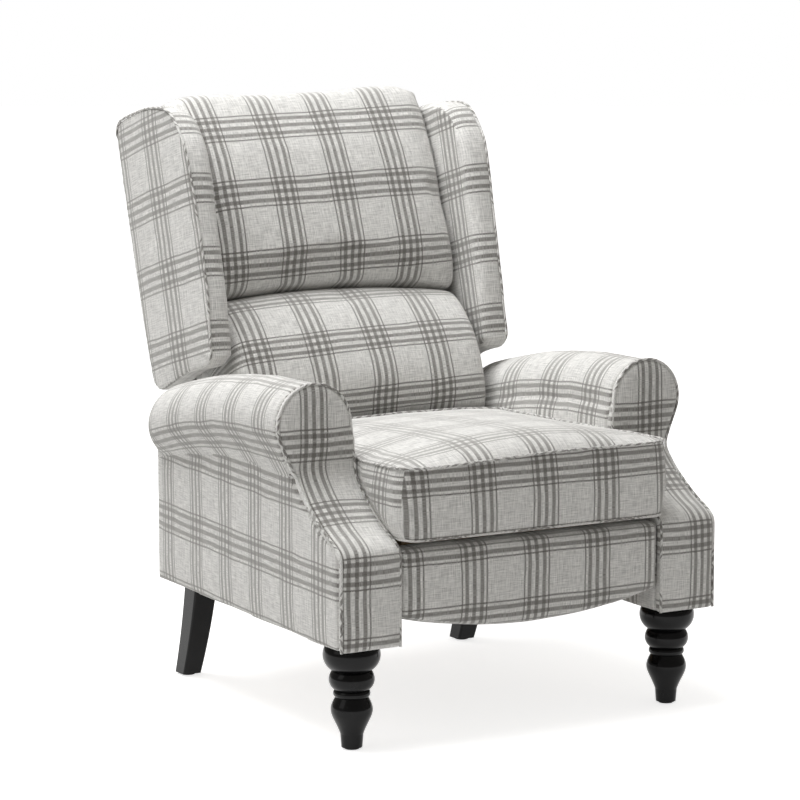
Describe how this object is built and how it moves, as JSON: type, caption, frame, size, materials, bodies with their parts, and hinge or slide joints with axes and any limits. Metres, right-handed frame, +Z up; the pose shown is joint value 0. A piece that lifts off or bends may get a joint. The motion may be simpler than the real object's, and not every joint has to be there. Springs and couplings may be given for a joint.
{
  "type": "wingback recliner",
  "caption": "Wingback push-back recliner: scroll arms, boxed seat, pillow back with wings, turned front legs, footrest and back that open together on a steel linkage.",
  "frame": {"origin": "middle of the footprint of the closed chair, on the floor", "axes": "+X to the sitter's left, -Y the way the chair faces, +Z up"},
  "size_m": [0.796, 0.922, 1.0383],
  "materials": {
    "plaid": "woven linen",
    "lining": "cambric",
    "foam": "foam pad",
    "webbing": "woven elastic",
    "hardwood": "unfinished",
    "black_legs": "gloss lacquer",
    "steel_strip": "satin enamel",
    "zinc": "zinc plated",
    "glide": "moulded"
  },
  "bodies": {
    "root": {"left_arm_frame": "hardwood", "right_arm_frame": "hardwood", "left_arm_cover": "plaid", "right_arm_cover": "plaid", "left_arm_facing": "plaid", "right_arm_facing": "plaid", "front_left_leg": "black_legs", "front_right_leg": "black_legs", "rear_left_leg": "black_legs", "rear_right_leg": "black_legs", "leg_mount_plates": "zinc", "leg_bolts": "zinc", "leg_glides": "glide", "base_cross_rail": "hardwood", "base_rear_rail": "hardwood", "base_rear_panel": "plaid", "left_base_plate": "steel_strip", "right_base_plate": "steel_strip", "base_plate_screws": "zinc"},
    "front_swing": {"left_front_swing_link": "steel_strip", "right_front_swing_link": "steel_strip", "front_swing_tube": "steel_strip"},
    "rear_swing": {"left_rear_swing_link": "steel_strip", "right_rear_swing_link": "steel_strip", "rear_swing_tube": "steel_strip"},
    "seat": {"left_seat_plate": "steel_strip", "right_seat_plate": "steel_strip", "seat_frame": "hardwood", "seat_springs": "zinc", "seat_deck": "foam", "seat_cushion": "plaid", "seat_spacers": "zinc", "seat_bolts": "zinc"},
    "rear_ottoman": {"left_rear_ottoman_link": "steel_strip", "right_rear_ottoman_link": "steel_strip"},
    "front_ottoman": {"left_front_ottoman_link": "steel_strip", "right_front_ottoman_link": "steel_strip", "ottoman_drive_tube": "steel_strip"},
    "outer_ottoman": {"left_outer_ottoman_link": "steel_strip", "right_outer_ottoman_link": "steel_strip"},
    "inner_ottoman": {"left_inner_ottoman_link": "steel_strip", "right_inner_ottoman_link": "steel_strip"},
    "footrest": {"left_footrest_bracket": "steel_strip", "right_footrest_bracket": "steel_strip", "footrest_bolts": "zinc", "footrest_board": "hardwood", "footrest_pad": "plaid"},
    "back": {"back_frame": "hardwood", "back_webbing": "webbing", "back_panel": "plaid", "lumbar_cushion": "plaid", "head_cushion": "plaid", "left_back_bracket": "steel_strip", "right_back_bracket": "steel_strip", "back_bracket_bolts": "zinc", "left_wing_frame": "hardwood", "right_wing_frame": "hardwood", "left_wing_cover": "plaid", "right_wing_cover": "plaid"}
  },
  "joints": [
    {"name": "back_recline", "type": "hinge", "parent": "seat", "child": "back", "pos_m": [0, 0.1754, 0.345], "axis": [-1, 0, 0], "range_deg": [0, 32]},
    {"name": "front_swing", "type": "hinge", "parent": "root", "child": "front_swing", "pos_m": [0, -0.0846, 0.24], "axis": [-1, 0, 0], "range_deg": [-50.02, 0]},
    {"name": "rear_swing", "type": "hinge", "parent": "root", "child": "rear_swing", "pos_m": [0, 0.0954, 0.24], "axis": [-1, 0, 0], "range_deg": [-50.02, 0]},
    {"name": "seat_carry", "type": "hinge", "parent": "front_swing", "child": "seat", "pos_m": [0, -0.01389, 0.31071], "axis": [-1, 0, 0], "range_deg": [0, 50.02]},
    {"name": "rear_ottoman_lift", "type": "hinge", "parent": "seat", "child": "rear_ottoman", "pos_m": [0, -0.29452, 0.30884], "axis": [-1, 0, 0], "range_deg": [0, 130.99]},
    {"name": "front_ottoman_lift", "type": "hinge", "parent": "seat", "child": "front_ottoman", "pos_m": [0, -0.3301, 0.32172], "axis": [-1, 0, 0], "range_deg": [0, 131.06]},
    {"name": "outer_ottoman_fold", "type": "hinge", "parent": "front_ottoman", "child": "outer_ottoman", "pos_m": [0, -0.17992, 0.21687], "axis": [-1, 0, 0], "range_deg": [-121.04, 0]},
    {"name": "footrest_tilt", "type": "hinge", "parent": "outer_ottoman", "child": "footrest", "pos_m": [0, -0.38231, 0.27103], "axis": [-1, 0, 0], "range_deg": [0, 91.98]},
    {"name": "inner_ottoman_fold", "type": "hinge", "parent": "front_ottoman", "child": "inner_ottoman", "pos_m": [0, -0.14776, 0.23192], "axis": [-1, 0, 0], "range_deg": [-127.15, 0]}
  ],
  "couplings": [
    {"joint": "front_swing", "follows": "back_recline", "ratio": -1.5625},
    {"joint": "rear_swing", "follows": "back_recline", "ratio": -1.5625},
    {"joint": "seat_carry", "follows": "back_recline", "ratio": 1.5625},
    {"joint": "rear_ottoman_lift", "follows": "back_recline", "ratio": 4.0912},
    {"joint": "front_ottoman_lift", "follows": "back_recline", "ratio": 4.0934},
    {"joint": "outer_ottoman_fold", "follows": "back_recline", "ratio": -3.7806},
    {"joint": "footrest_tilt", "follows": "back_recline", "ratio": 2.8728},
    {"joint": "inner_ottoman_fold", "follows": "back_recline", "ratio": -3.9716}
  ]
}
